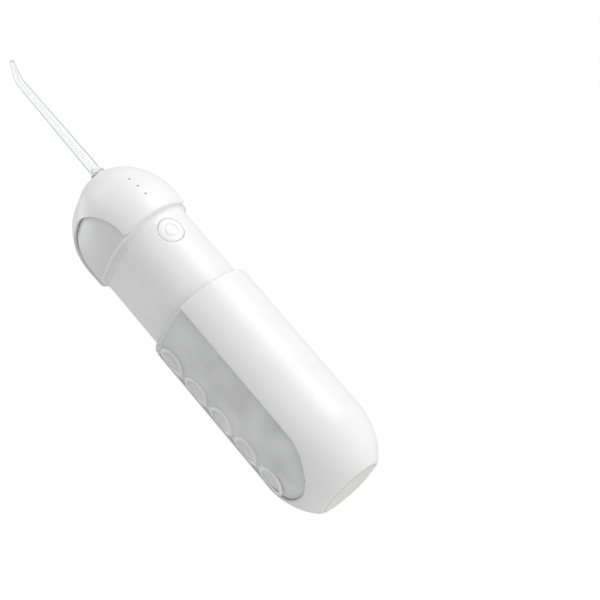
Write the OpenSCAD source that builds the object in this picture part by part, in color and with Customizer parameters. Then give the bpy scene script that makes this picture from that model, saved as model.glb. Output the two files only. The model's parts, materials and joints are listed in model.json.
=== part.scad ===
// Telescoping cordless water flosser with an oval capsule body.
// Frame: +Z up, origin on the resting face, front (button side) toward -Y, windows at +X and -X.
// The body is drawn pulled out; the upper part slides down into the tank by collapse_travel.

/* [Body] */
// Half width of the oval body, across its flat sides
half_w = 27; // [24:0.5:33]
// Half length of the straight part of the oval
stretch = 5.5; // [4:0.5:8]
// Height of the open lower shell
shell_top = 115; // [105:1:138]
// Height of the head's lower edge with the body pulled out
head_rim = 160; // [150:1:172]
// Gap left between head and shell with the body pushed in
closed_gap = 0.4; // [0.2:0.1:1.5]
// Height of the straight part of the head
head_straight = 8; // [6:0.5:10]
// Height of the dome above the straight part
head_dome_h = 33.5; // [30:0.5:40]
// Height of the rounded lower end of the shell
foot_round = 29.3; // [24:0.5:35]
// Half width of the flat base
foot_half = 15.25; // [13:0.25:19]

/* [Walls and clearances] */
// Wall of the outer shell
shell_wall = 1.6; // [1.2:0.1:2.0]
// Wall of the clear tank
tank_wall = 1.2; // [1:0.1:1.5]
// Wall of the head
head_wall = 1.8; // [1.4:0.1:2.2]
// Wall of the middle sleeve
sleeve_wall = 1.6; // [1.2:0.1:2.0]
// Gap between the middle sleeve and the tank
slide_gap = 0.7; // [0.6:0.05:0.9]
// Gap between pieces that are pushed into each other and stay put
seat_gap = 0.1; // [0.05:0.01:0.15]
// Radial gap of the turning fits
run_gap = 0.05; // [0.03:0.01:0.08]

/* [Windows] */
// Half width of the side windows
window_half = 22.3; // [18:0.1:24]
// Height of the lower arc's centre
window_centre = 33; // [30:0.5:36]
// Half width of the arches in the head
arch_half = 23.7; // [19:0.1:24.5]
// Height of the head arch's centre above the head's edge
arch_lift = 2.75; // [0:0.25:4]
// Number of moulded rings on each side of the tank
ring_count = 5; // [1:1:5]
// Distance between the moulded rings
ring_pitch = 19.1; // [18:0.1:20]
// Height of the lowest ring
ring_first = 27; // [24:1:30]
// Outer radius of a moulded ring
ring_radius = 8.5; // [5:0.5:9]
// Width of the moulded ring's raised band
ring_band = 2.2; // [1:0.1:3]
// Height of the raised band above the tank
ring_raise = 0.6; // [0.3:0.1:1]
// Angle of the ring's centre behind the flat side
ring_angle = 12.5; // [0:0.5:16]

/* [Seal piston and intake] */
// Gap between the intake filter and the tank's floor with the body pushed in
filter_gap = 5.4; // [2:0.1:8]
// Height of the seal piston's skirt
piston_skirt = 8.5; // [8:0.5:12]
// Height of the seal groove
seal_h = 3; // [2.5:0.1:4]
// Depth of the seal groove
seal_depth = 2.1; // [1.6:0.1:2.4]
// Length of the intake pipe below the seal piston
intake_drop = 19; // [12:1:24]
// Outer radius of the intake pipe and hoses
hose_r = 1.8; // [1.5:0.1:1.9]
// Bore radius of the intake pipe and hoses
hose_bore = 1; // [0.6:0.1:1.2]

/* [Drive] */
// Diameter of the battery cell
cell_d = 18.2; // [16:0.1:18.4]
// Length of the battery cell
cell_len = 65; // [60:0.5:65]
// Diameter of the motor can
motor_d = 24; // [20:0.5:24]
// Length of the motor can
motor_len = 31; // [25:0.5:34]
// Gear module
gear_module = 0.75; // [0.6:0.05:0.75]
// Teeth on the motor pinion
pinion_teeth = 10; // [10:1:10]
// Teeth on the drive gear
gear_teeth = 30; // [30:1:30]
// Thickness of the drive gear
gear_h = 5; // [4:0.5:6]
// Radius of the motor shaft and of the gear axle
shaft_r = 1; // [0.8:0.1:1.2]
// Offset of the crank pin on the drive gear
crank_r = 1.5; // [1:0.1:1.5]
// Bore radius of the pump cylinder
pump_bore = 4; // [3:0.1:4.2]

/* [Nozzle] */
// Distance of the nozzle's axis in front of the body's axis
nozzle_front = 10.8; // [9.5:0.1:12]
// Height of the bend above the head's surface
nozzle_len = 66.5; // [40:0.5:80]
// Length of the bent tip
tip_len = 10.5; // [6:0.5:16]
// Angle of the bent tip
tip_angle = 43; // [20:1:60]
// Radius of the nozzle at the head
nozzle_base_r = 2.9; // [2.2:0.1:3.2]
// Radius of the nozzle at the bend
nozzle_bend_r = 2.1; // [1.5:0.05:2.2]
// Radius of the nozzle's end
nozzle_tip_r = 1.1; // [0.8:0.05:1.3]
// Bore radius of the nozzle
nozzle_bore = 0.6; // [0.4:0.05:0.7]

/* [Controls] */
// Distance of the button's centre below the head's edge
button_drop = 10.8; // [10:0.1:13]
// Radius of the button
button_r = 6.6; // [5.5:0.1:7]
// Gap around the button
button_gap = 0.3; // [0.2:0.05:0.4]
// Travel of the button
button_travel = 0.7; // [0.5:0.05:0.8]
// Radius of each indicator light
light_r = 0.5; // [0.3:0.05:0.8]
// Heights of the indicator lights above the head's edge
light_lifts = [10.7, 16.5, 22.5];
// Half width of the charging port cover
cover_half = 6; // [5.5:0.25:6.5]
// Height of the charging port cover
cover_h = 8; // [6.5:0.1:10]

/* [Hidden] */
$fn = 48;
eps = 0.5;                                        // overrun of a cut past the face it opens

collapse_travel = head_rim - shell_top - closed_gap;

// Half widths of the nested ovals, from the outside in
shell_in = half_w - shell_wall;
tank_out = shell_in - seat_gap;
tank_in = tank_out - tank_wall;
sleeve_out = tank_in - slide_gap;
sleeve_in = sleeve_out - sleeve_wall;
head_in = half_w - head_wall;

// Base
pad_h = 1.2;
pad_proud = 0.3;
pad_inset = 1.7;
floor_top = pad_proud + shell_wall;               // the tank stands here
foot_turn = acos(foot_half / half_w);
foot_drop = (foot_round - pad_proud) / sin(foot_turn);
tank_floor = 1.6;

// Tank mouth
mouth_chamfer = 0.8;
lip_h = 1.6;
lip_out = 1.0;
wiper_drop = 2.4;                                 // top of the wiper seal below the rim
wiper_h = 1.8;
wiper_depth = 0.5;
wiper_clear = 0.35;
snap_drop = 5.6;                                  // middle of the tank's snap bead below its rim
snap_lift = 4.5;                                  // middle of the sleeve's snap bead below the head's edge
tank_bead = 12.9;                                 // how far the beads reach from the middle
sleeve_bead = 17.8;
snap_h = 0.9;
snap_raise = 0.2;

// Head
rim_round = 1.5;
rim_fillet = 2;
rim_flange = 3;
panel_wall = 0.9;
panel_margin = 1.5;
gasket_h = 0.8;
flange_step = 0.75;                               // how far the sleeve's flange stands out
flange_h = 1.7;
dome_z = head_rim + head_straight;
ring_seat = head_rim + rim_flange;                // upper face of the head's rim flange
sleeve_top = ring_seat + gasket_h + flange_h;

// Seal piston
filter_foot = 2;
piston_z = floor_top + tank_floor + filter_gap + filter_foot + intake_drop + collapse_travel;
skirt_top = piston_z + piston_skirt;
sleeve_bottom = skirt_top + seal_h;
spigot_h = 4;
seal_lip = 0.45;                                  // how far the seal's lip stands out of its groove
cap_floor = 2.5;
neck_half = sleeve_out - seal_depth;
neck_wall = 1.3;
cap_in = neck_half - neck_wall;
ledge = 0.8;
foot_z = skirt_top + 0.5;                         // lower face of the inner frame's foot

// Inner frame and what it carries
foot_h = 2;
tab_h = 0.5;
deck_h = 2.5;
foot_top = foot_z + foot_h;
deck_z = foot_top + cell_len + 2 * tab_h;
deck_top = deck_z + deck_h;
deck_half = sleeve_in - 0.3;
rib_w = 27;
rib_t = 2;
cell_y = 15;
motor_y = -9;
gear_y = motor_y + gear_module * (pinion_teeth + gear_teeth) / 2;
rib_y = cell_y - cell_d / 2 - 0.5 - rib_t;
boss_r = 4;
boss_h = 1.5;
motor_screw_x = 8;
screw_r = 1.2;
screw_head_r = 2.2;
screw_head_h = 1.2;
screw_bite = 1.4;                                 // length of the screw in the motor's end face
board_t = 1.6;
board_w = 19;
board_back = -21.2;
board_front = board_back - board_t;
board_top = head_rim - 3;

// Motor
can_wall = 1;
can_face = 1.5;
armature_gap = 2;
magnet_t = 2.2;
end_cap_h = 3;
armature_r = 8;
armature_len = 18;
shaft_tail = 3;

// Gears
gear_lift = 1.5;
gear_z = deck_top + gear_lift;
gear_top = gear_z + gear_h;
pin_r = 1.5;
addendum = 0.8 * gear_module;
dedendum = 1.25 * gear_module;
tooth_fill = 0.82;                                // tooth thickness as a share of half a pitch

// Pump; the crank's eye is open by the stroke on each side of the pin
pump_wall = 1.5;
pump_out = pump_bore + pump_wall;
rod_z = gear_top + pump_out + 1;
rod_h = 3;
eye_clear = 0.3;
eye_x = 2 * crank_r + pin_r + eye_clear;
eye_y = crank_r + pin_r + eye_clear;
eye_wall = 1.5;
stroke_gap = 0.4;                                 // room past each end of the stroke
cyl_x = eye_x + eye_wall + crank_r + stroke_gap;
cup_h = 3;
rod_bite = 0.8;                                   // length of the rod in the piston cup
cyl_len = cup_h + 2 * crank_r + 2 * stroke_gap;
head_x = cyl_x + cyl_len;
head_len = 5;
port_x = head_x + 2;
post_t = 2.5;
valve_r = hose_bore + 0.3;
valve_t = 0.8;
chamber_r = valve_r + 0.1;
chamber_half = 3.6;
seat_r = chamber_r + 0.25;
seat_z = rod_z + chamber_half - 3 * valve_t;      // lower face of the outlet valve's seat
pump_screw_r = 0.9;
pump_screw_y = pump_out - 1.1;
pump_screw_head_r = 1.6;
pump_screw_head_h = 1;
pump_screw_z = deck_top + 1.5;                    // lower end of the pump screws

// Intake
pipe_x = 10;
pipe_y = -12;
pipe_flange = 3.2;
filter_r = 3.2;
filter_h = 6;
filter_slot = 0.8;
pipe_flange_h = 1;
hose_bend = 2.4;
hose_z = piston_z + cap_floor + pipe_flange_h;
elbow_z = hose_z + hose_bend + 0.4;

// Nozzle and its socket
surface_fall = 1 - sqrt(1 - pow((nozzle_front - stretch) / half_w, 2));
nozzle_z = dome_z + head_dome_h * (1 - surface_fall);
socket_r = 4.6;
socket_flange = 6;
boss_out = 7;
boss_z = nozzle_z - 11;
socket_z = boss_z - 6;
base_h = 5;
turret_r = 3.5;
turret_flange = 0.7;
turret_flange_h = 1.5;
turret_sink = 0.4;                                // turret's top face below the head's surface
socket_sink = 1.5;
stem_ring_z = 2;
stem_r = 2;
stem_len = 13;
collar_r = 4;
collar_h = 2.2;
ring_r = 0.45;

// Button and lights
button_z = head_rim - button_drop;
button_lip = 1;
button_lip_t = 0.7;
button_face = 1.9;
button_inner_r = 5;
button_stem_r = 1.5;
button_lip_inset = 1.6;                           // lip behind the sleeve's inner face
switch_w = 6;
switch_h = 1.8;
actuator_r = 1.7;
actuator_h = 1;
guide_y = -(head_in + stretch) + 4.5;
guide_w = 3;
guide_t = 1;
post_x = 3.4;
post_r = 1.4;

// Charging port
cover_gap = 0.25;
cover_floor = stretch + head_in - 0.5;
cover_z = dome_z - 0.5;
barrel_r = 0.8;                                   // the cover's lower edge is rounded about its hinge
port_pad = 1.6;
port_w = 9;
port_h = 3.2;
port_len = 6;
port_z = cover_z + (cover_h - port_h) / 2;
charge_t = 1.2;
charge_w = 14;
charge_y = 20;
charge_len = cover_floor - port_pad - seat_gap - charge_y;
charge_post_x = 5;
charge_post_y = 22;
charge_post_r = 1.5;
port_skin = 0.4;

// ---------- outlines ----------

// Points of a dome: half width b, from height z0, rising by h
function dome_points(b, z0, h, n = 12) = [for (i = [0 : n]) [b * cos(90 * i / n), z0 + h * sin(90 * i / n)]];

// Points of the rounded lower end, from height z up to foot_round
function foot_points(b, drop, z, n = 8) =
    let (t = asin((foot_round - z) / drop))
    [for (i = [0 : n]) [b * cos(t * (1 - i / n)), foot_round - drop * sin(t * (1 - i / n))]];

// Points of an arc of radius r about [x, z], from angle a to angle b
function arc_points(x, z, r, a, b, n = 4) =
    [for (i = [0 : n]) [x + r * cos(a + (b - a) * i / n), z + r * sin(a + (b - a) * i / n)]];

function polar(r, a) = [r * cos(a), r * sin(a)];

// ---------- shapes ----------

// Turns a half outline into an oval body: two half turns and a straight middle
module oval_turn() {
    for (m = [0, 1])
        mirror([0, m, 0])
            translate([0, stretch, 0])
                rotate_extrude(angle = 180)
                    children();
    rotate([90, 0, 0])
        linear_extrude(2 * stretch, center = true) {
            children();
            mirror([1, 0])
                children();
        }
}

// Oval plate or, with a second half width, oval ring
module oval_ring(b, z, h, b_in = 0) {
    oval_turn()
        translate([b_in, z])
            square([b - b_in, h]);
}

// Prism through the body along X, rounded at its lower or upper end
module side_prism(r, centre, reach) {
    rotate([90, 0, 90])
        linear_extrude(3 * half_w, center = true) {
            translate([0, centre])
                circle(r);
            translate([-r, min(centre, centre + reach)])
                square([2 * r, abs(reach)]);
        }
}

// Solid of the head's outside, or of its inside, with its base at height z
module head_solid(b, h, z) {
    oval_turn()
        polygon(concat([[0, z]], [[b, z]], dome_points(b, dome_z, h)));
}

// Hose that rises at point a, crosses over at height mid and rises to height top at point b
module hose(a, b, low, mid, top) {
    span = norm(b - a);
    translate([a.x, a.y, 0])
        rotate([0, 0, atan2(b.y - a.y, b.x - a.x)]) {
            hose_leg(low, mid - hose_bend);
            translate([hose_bend, 0, mid - hose_bend])
                hose_elbow(90);
            translate([0, 0, mid])
                rotate([0, 90, 0])
                    hose_leg(hose_bend, span - hose_bend);
            translate([span - hose_bend, 0, mid + hose_bend])
                hose_elbow(-90);
            translate([span, 0, 0])
                hose_leg(mid + hose_bend, top);
        }
}

module hose_section() {
    difference() {
        circle(hose_r);
        circle(hose_bore);
    }
}

module hose_leg(low, high) {
    translate([0, 0, low])
        linear_extrude(high - low)
            hose_section();
}

// Quarter turn in the XZ plane, from angle a on
module hose_elbow(a) {
    rotate([90, 0, 0])
        rotate([0, 0, a])
            rotate_extrude(angle = 90)
                translate([hose_bend, 0])
                    hose_section();
}

module cylinder_x(r, x, len) {
    translate([x, 0, 0])
        rotate([0, 90, 0])
            cylinder(r = r, h = len);
}

// Cylinder that points to the front, from y = front to y = back
module cylinder_y(r, front, back) {
    translate([0, front, 0])
        rotate([-90, 0, 0])
            cylinder(r = r, h = back - front);
}

module gear_outline(teeth) {
    pitch_r = gear_module * teeth / 2;
    tip_r = pitch_r + addendum;
    root_r = pitch_r - dedendum;
    half_tooth = tooth_fill * 90 / teeth;
    tip_half = half_tooth - addendum * tan(20) / tip_r * 180 / PI;
    root_half = min(half_tooth + dedendum * tan(20) / root_r * 180 / PI, 130 / teeth);
    polygon([for (i = [0 : teeth - 1], p = [[root_r, -root_half], [tip_r, -tip_half],
        [tip_r, tip_half], [root_r, root_half]]) polar(p[0], 360 * i / teeth + p[1])]);
}

// ---------- lower body ----------

module outer_shell() {
    color("white")
        difference() {
            oval_turn()
                polygon(concat([[0, pad_proud]],
                    foot_points(half_w, foot_drop, pad_proud),
                    [[half_w, shell_top - shell_wall / 2], [half_w - shell_wall / 2, shell_top],
                    [shell_in, shell_top]],
                    shell_inside()));
            side_prism(window_half, window_centre, shell_top);
            oval_ring(foot_half - pad_inset, -eps, eps + pad_h);
        }
}

// Inside outline of the shell, from the top down to its floor
function shell_inside() =
    let (p = foot_points(shell_in, foot_drop - shell_wall, floor_top))
    concat([for (i = [len(p) - 1 : -1 : 0]) p[i]], [[0, floor_top]]);

// Inside outline of the tank, from the top down to its floor
function tank_inside() =
    let (p = foot_points(tank_in, foot_drop - shell_wall - seat_gap - tank_wall, floor_top + tank_floor))
    concat([for (i = [len(p) - 1 : -1 : 0]) p[i]], [[0, floor_top + tank_floor]]);

module water_tank() {
    color("lightgray", 0.5)
        difference() {
            union() {
                oval_turn()
                    polygon(concat([[0, floor_top]],
                        foot_points(tank_out, foot_drop - shell_wall - seat_gap, floor_top),
                        [[tank_out, shell_top], [tank_in + mouth_chamfer, shell_top],
                        [tank_in, shell_top - mouth_chamfer]],
                        tank_inside()));
                tank_rings();
                tank_lip();
                snap_bead(tank_in - snap_raise, tank_in + tank_wall / 2, shell_top - snap_drop, tank_bead);
            }
            oval_ring(tank_in + wiper_depth, shell_top - wiper_drop - wiper_h, wiper_h, tank_in - eps);
        }
}

// Moulded rings on the tank's curved sides, cut off level with one oval
module tank_rings() {
    intersection() {
        oval_ring(tank_out + ring_raise, ring_first - ring_radius - 1,
            ring_pitch * (ring_count - 1) + 2 * ring_radius + 2, tank_out - tank_wall / 2);
        side_prism(window_half - seat_gap, window_centre, shell_top);
        for (m = [0, 1], i = [0 : ring_count - 1])
            mirror([m, 0, 0])
                translate([0, stretch, ring_first + i * ring_pitch])
                    rotate([0, 0, ring_angle])
                        difference() {
                            cylinder_x(ring_radius, tank_in - 6, 12);
                            cylinder_x(ring_radius - ring_band, tank_in - 7, 14);
                        }
    }
}

// Lip that fills the windows' open upper ends
module tank_lip() {
    intersection() {
        oval_ring(tank_out + lip_out, shell_top - lip_h, lip_h, tank_out - tank_wall / 4);
        side_prism(window_half - seat_gap, shell_top - lip_h - window_half, 2 * window_half);
    }
}

// Bead that follows each flat side as far as reach, between half widths a and b
module snap_bead(a, b, z, reach) {
    intersection() {
        oval_ring(b, z - snap_h / 2, snap_h, a);
        translate([-2 * half_w, -reach, z - snap_h])
            cube([4 * half_w, 2 * reach, 2 * snap_h]);
    }
}

module wiper_seal() {
    color("gray")
        oval_ring(tank_in + wiper_depth - run_gap, shell_top - wiper_drop - wiper_h, wiper_h,
            sleeve_out + wiper_clear);
}

module base_pad() {
    color("whitesmoke")
        oval_ring(foot_half - pad_inset - seat_gap, 0, pad_h);
}

// ---------- head ----------

module head_dome() {
    color("white")
        difference() {
            union() {
                head_skin();
                nozzle_boss();
                light_posts();
                port_frame();
            }
            head_arches();
            translate([0, -nozzle_front, 0])
                cylinder(r = socket_r + run_gap, h = 2 * nozzle_z);
            light_holes(light_r + run_gap);
            cover_recess();
        }
}

module head_skin() {
    seat = sleeve_out + run_gap;
    oval_turn()
        polygon(concat(
            arc_points(seat + rim_fillet, head_rim - rim_fillet, rim_fillet, 180, 90),
            arc_points(half_w - rim_round, head_rim + rim_round, rim_round, -90, 0),
            dome_points(half_w, dome_z, head_dome_h),
            [for (i = [12 : -1 : 0]) dome_points(head_in, dome_z, head_dome_h - head_wall)[i]],
            [[head_in, ring_seat], [seat, ring_seat]]));
}

// Recess of each side arch, as deep as the head's wall
module head_arches() {
    arch_z = head_rim + arch_lift;
    difference() {
        intersection() {
            side_prism(arch_half, arch_z, -2 * arch_half);
            oval_ring(half_w + eps, head_rim - rim_fillet - eps, head_straight + head_dome_h + rim_fillet);
        }
        head_solid(head_in, head_dome_h - head_wall, head_rim - 2 * rim_fillet);
    }
}

module arch_panels() {
    arch_z = head_rim + arch_lift;
    color("gainsboro")
        difference() {
            intersection() {
                side_prism(arch_half + panel_margin, arch_z, -arch_half);
                head_solid(head_in - run_gap, head_dome_h - head_wall - run_gap, ring_seat);
            }
            head_solid(head_in - panel_wall, head_dome_h - head_wall - panel_wall, ring_seat - eps);
            cube([2 * stretch, 3 * half_w, 3 * nozzle_z], center = true);
        }
}

module nozzle_boss() {
    intersection() {
        translate([0, -nozzle_front, boss_z])
            cylinder(r = boss_out, h = nozzle_z);
        head_solid(half_w - head_wall / 2, head_dome_h - head_wall / 2, head_rim);
    }
}

module light_posts() {
    for (m = [0, 1])
        mirror([m, 0, 0])
            translate([post_x, 0, head_rim + light_lifts[1]])
                cylinder_y(post_r, -(head_in + stretch) + 0.6, guide_y + guide_t);
}

module light_holes(r) {
    for (lift = light_lifts)
        translate([0, 0, head_rim + lift])
            cylinder_y(r, -2 * half_w, guide_y + guide_t);
}

// Thicker wall behind the charging port's cover
module port_frame() {
    intersection() {
        translate([-cover_half - port_pad, cover_floor - port_pad, cover_z - port_pad])
            cube([2 * (cover_half + port_pad), half_w, cover_h + 2 * port_pad]);
        head_solid(half_w - head_wall / 2, head_dome_h - head_wall / 2, head_rim);
    }
}

module cover_recess() {
    translate([-cover_half - cover_gap, cover_floor, cover_z - cover_gap])
        cube([2 * (cover_half + cover_gap), half_w, cover_h + 2 * cover_gap]);
    translate([-port_w / 2 - seat_gap, cover_floor - half_w / 2, port_z - seat_gap])
        cube([port_w + 2 * seat_gap, half_w, port_h + 2 * seat_gap]);
}

module port_cover() {
    color("gainsboro")
        intersection() {
            union() {
                translate([-cover_half, cover_floor + seat_gap, cover_z + barrel_r])
                    cube([2 * cover_half, half_w, cover_h - barrel_r]);
                translate([0, half_w + stretch - barrel_r, cover_z + barrel_r])
                    cylinder_x(barrel_r, -cover_half, 2 * cover_half);
            }
            head_solid(half_w, head_dome_h, head_rim, $fn = 144);
        }
}

module head_gasket() {
    color("gray")
        oval_ring(sleeve_out + flange_step, ring_seat, gasket_h, sleeve_out + run_gap);
}

// ---------- middle sleeve and seal piston ----------

module middle_sleeve() {
    color("white")
        difference() {
            union() {
                oval_ring(sleeve_out, sleeve_bottom, sleeve_top - sleeve_bottom, sleeve_in);
                oval_ring(sleeve_out + flange_step, sleeve_top - flange_h, flange_h, sleeve_in);
                snap_bead(sleeve_in + sleeve_wall / 2, sleeve_out + snap_raise, head_rim - snap_lift, sleeve_bead);
            }
            translate([0, 0, button_z])
                cylinder_y(button_r + button_gap, -2 * half_w, 0);
        }
}

module bottom_cap() {
    color("whitesmoke")
        difference() {
            union() {
                oval_ring(sleeve_out, piston_z, piston_skirt);
                oval_ring(neck_half, piston_z, piston_skirt + seal_h);
                oval_ring(sleeve_in - run_gap, sleeve_bottom, spigot_h);
            }
            oval_ring(cap_in - ledge, piston_z + cap_floor, piston_skirt + seal_h + spigot_h);
            oval_ring(cap_in, foot_z, seal_h + spigot_h + eps);
            translate([pipe_x, pipe_y, piston_z - eps])
                cylinder(r = hose_r + run_gap, h = cap_floor + 2 * eps);
        }
}

module tank_seal() {
    lip = sleeve_out + seal_lip;
    waist = sleeve_out - seal_lip;
    color("dimgray")
        oval_turn()
            polygon([[neck_half + run_gap, skirt_top], [waist, skirt_top],
                [lip, skirt_top + seal_h / 3], [lip, skirt_top + 2 * seal_h / 3],
                [waist, sleeve_bottom], [neck_half + run_gap, sleeve_bottom]]);
}

module intake_pipe() {
    top = piston_z + cap_floor;
    color("white")
        translate([pipe_x, pipe_y, 0])
            difference() {
                union() {
                    translate([0, 0, piston_z - intake_drop])
                        cylinder(r = hose_r, h = intake_drop + cap_floor);
                    translate([0, 0, top])
                        cylinder(r = pipe_flange, h = pipe_flange_h);
                }
                translate([0, 0, piston_z - intake_drop - eps])
                    cylinder(r = hose_bore, h = intake_drop + cap_floor + pipe_flange_h + 2 * eps);
            }
}

module intake_filter() {
    color("lightgray")
        translate([pipe_x, pipe_y, piston_z - intake_drop - filter_foot])
            difference() {
                cylinder(r = filter_r, h = filter_h);
                translate([0, 0, filter_foot])
                    cylinder(r = hose_r + run_gap, h = filter_h);
                for (a = [0, 90])
                    rotate([0, 0, a])
                        translate([-filter_r - eps, -filter_slot / 2, -eps])
                            cube([2 * (filter_r + eps), filter_slot, filter_foot / 2 + eps]);
                translate([0, 0, -eps])
                    cylinder(r = hose_bore, h = filter_h);
            }
}

module inlet_hose() {
    color("lightgray")
        hose([pipe_x, pipe_y], [port_x, gear_y], hose_z, elbow_z, rod_z - pump_out);
}

// ---------- frame, battery and boards ----------

module inner_frame() {
    color("darkgray")
        difference() {
            union() {
                oval_ring(cap_in - run_gap, foot_z, foot_h);
                translate([-rib_w / 2, rib_y, foot_top])
                    cube([rib_w, rib_t, deck_z - foot_top]);
                oval_ring(deck_half, deck_z, deck_h);
                for (y = [-pump_out, pump_out - post_t])
                    translate([head_x - 1, gear_y + y, deck_top])
                        cube([head_len + 1, post_t, rod_z - pump_out - deck_top]);
                for (x = [-charge_post_x, charge_post_x])
                    translate([x, charge_post_y, deck_top])
                        cylinder(r = charge_post_r, h = port_z - charge_t - deck_top);
            }
            translate([-half_w, board_back - half_w, deck_z - eps])
                cube([2 * half_w, half_w, deck_h + 2 * eps]);
            translate([0, motor_y, deck_z - eps])
                cylinder(r = boss_r + seat_gap, h = deck_h + 2 * eps);
            for (x = [-motor_screw_x, motor_screw_x])
                translate([x, motor_y, deck_z - eps])
                    cylinder(r = screw_r + run_gap, h = deck_h + 2 * eps);
            translate([0, gear_y, deck_z - eps])
                cylinder(r = shaft_r, h = deck_h + 2 * eps);
            for (z = [foot_z, deck_z])
                translate([port_x, gear_y, z - eps])
                    cylinder(r = hose_r + 2 * seat_gap, h = deck_h + 2 * eps);
            for (y = [-pump_screw_y, pump_screw_y])
                translate([head_x + head_len / 2, gear_y + y, pump_screw_z - eps])
                    cylinder(r = pump_screw_r + run_gap, h = rod_z);
        }
}

module battery() {
    color("seagreen")
        translate([0, cell_y, foot_top + tab_h])
            cylinder(r = cell_d / 2, h = cell_len);
}

module battery_tabs() {
    color("silver")
        for (z = [foot_top, deck_z - tab_h])
            translate([-4, cell_y - 7, z])
                cube([8, 14, tab_h]);
}

module circuit_board() {
    color("darkgreen")
        translate([-board_w / 2, board_front, foot_top])
            cube([board_w, board_t, board_top - foot_top]);
}

module power_switch() {
    color("black") {
        translate([-switch_w / 2, board_front - switch_h, button_z - switch_w / 2])
            cube([switch_w, switch_h, switch_w]);
        translate([0, 0, button_z])
            cylinder_y(actuator_r, board_front - switch_h - actuator_h, board_front - switch_h);
    }
}

module power_button() {
    face_in = -(sleeve_out + stretch) + button_face;
    stem = board_front - switch_h - actuator_h - button_travel - run_gap;
    lip_front = -(sleeve_in + stretch) + button_lip_inset;
    color("white")
        difference() {
            union() {
                intersection() {
                    translate([0, 0, button_z])
                        cylinder_y(button_r, -2 * half_w, lip_front + button_lip_t);
                    oval_ring(sleeve_out, button_z - 2 * button_r, 4 * button_r);
                }
                translate([0, 0, button_z])
                    cylinder_y(button_r + button_lip, lip_front, lip_front + button_lip_t);
            }
            difference() {
                translate([0, 0, button_z])
                    cylinder_y(button_inner_r, face_in, 0);
                translate([0, 0, button_z])
                    cylinder_y(button_stem_r, face_in - eps, stem);
            }
        }
}

// ---------- motor and gears ----------

module motor_can() {
    low = deck_z - motor_len;
    color("silver")
        translate([0, motor_y, 0])
            difference() {
                union() {
                    translate([0, 0, low + end_cap_h])
                        cylinder(r = motor_d / 2, h = motor_len - end_cap_h);
                    translate([0, 0, deck_z])
                        cylinder(r = boss_r, h = boss_h);
                }
                translate([0, 0, low])
                    cylinder(r = motor_d / 2 - can_wall, h = motor_len - can_face);
                cylinder(r = shaft_r + run_gap, h = 2 * deck_z);
                for (x = [-motor_screw_x, motor_screw_x])
                    translate([x, 0, deck_z - 2 * screw_bite])
                        cylinder(r = screw_r + run_gap, h = 3 * screw_bite);
            }
}

module motor_magnets() {
    outer = motor_d / 2 - can_wall - run_gap;
    color("dimgray")
        translate([0, motor_y, deck_z - motor_len + end_cap_h])
            difference() {
                cylinder(r = outer, h = armature_len + armature_gap);
                translate([0, 0, -eps])
                    cylinder(r = outer - magnet_t, h = armature_len + 2 * armature_gap);
                translate([-motor_d, -magnet_t, -eps])
                    cube([2 * motor_d, 2 * magnet_t, armature_len + 2 * armature_gap]);
            }
}

module motor_end_cap() {
    color("black")
        translate([0, motor_y, deck_z - motor_len])
            difference() {
                cylinder(r = motor_d / 2, h = end_cap_h);
                translate([0, 0, -eps])
                    cylinder(r = shaft_r + run_gap, h = end_cap_h + 2 * eps);
            }
}

module motor_shaft() {
    low = deck_z - motor_len - shaft_tail;
    color("silver")
        translate([0, motor_y, low])
            cylinder(r = shaft_r, h = gear_top - low);
}

module motor_armature() {
    color("peru")
        translate([0, motor_y, deck_z - motor_len + end_cap_h + armature_gap])
            difference() {
                cylinder(r = armature_r, h = armature_len);
                translate([0, 0, -eps])
                    cylinder(r = shaft_r, h = armature_len + 2 * eps);
            }
}

module motor_screws() {
    color("silver")
        for (x = [-motor_screw_x, motor_screw_x])
            translate([x, motor_y, 0]) {
                translate([0, 0, deck_top])
                    cylinder(r = screw_head_r, h = screw_head_h);
                translate([0, 0, deck_z - screw_bite])
                    cylinder(r = screw_r, h = deck_h + screw_bite);
            }
}

module motor_pinion() {
    color("gold")
        translate([0, motor_y, gear_z])
            difference() {
                rotate([0, 0, 90 + 180 / pinion_teeth])
                    linear_extrude(gear_h)
                        gear_outline(pinion_teeth);
                translate([0, 0, -eps])
                    cylinder(r = shaft_r, h = gear_h + 2 * eps);
            }
}

module gear_axle() {
    color("silver")
        translate([0, gear_y, deck_z])
            cylinder(r = shaft_r, h = gear_top - 1.3 - deck_z);
}

module drive_gear() {
    color("ivory")
        translate([0, gear_y, gear_z])
            difference() {
                union() {
                    rotate([0, 0, -90])
                        linear_extrude(gear_h)
                            gear_outline(gear_teeth);
                    translate([0, -crank_r, gear_h])
                        cylinder(r = pin_r, h = rod_z + rod_h / 2 + 0.5 - gear_top);
                }
                translate([0, 0, -eps])
                    cylinder(r = shaft_r + run_gap, h = gear_h - 1 + eps);
            }
}

// ---------- pump ----------

module pump_rod() {
    color("ivory")
        translate([0, gear_y, rod_z]) {
            difference() {
                translate([-eye_x - eye_wall, -eye_y - eye_wall, -rod_h / 2])
                    cube([2 * (eye_x + eye_wall), 2 * (eye_y + eye_wall), rod_h]);
                translate([-eye_x, -eye_y, -rod_h])
                    cube([2 * eye_x, 2 * eye_y, 2 * rod_h]);
            }
            cylinder_x(rod_h / 2, eye_x + eye_wall, 2 * (crank_r + stroke_gap) + rod_bite);
        }
}

module piston_cup() {
    color("gray")
        translate([0, gear_y, rod_z])
            difference() {
                cylinder_x(pump_bore - run_gap, cyl_x + crank_r + stroke_gap, cup_h);
                cylinder_x(rod_h / 2, cyl_x, crank_r + stroke_gap + rod_bite);
            }
}

module pump_cylinder() {
    color("lightgray")
        translate([0, gear_y, rod_z])
            difference() {
                cylinder_x(pump_out, cyl_x, cyl_len);
                cylinder_x(pump_bore, cyl_x - eps, cyl_len + 2 * eps);
            }
}

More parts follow.
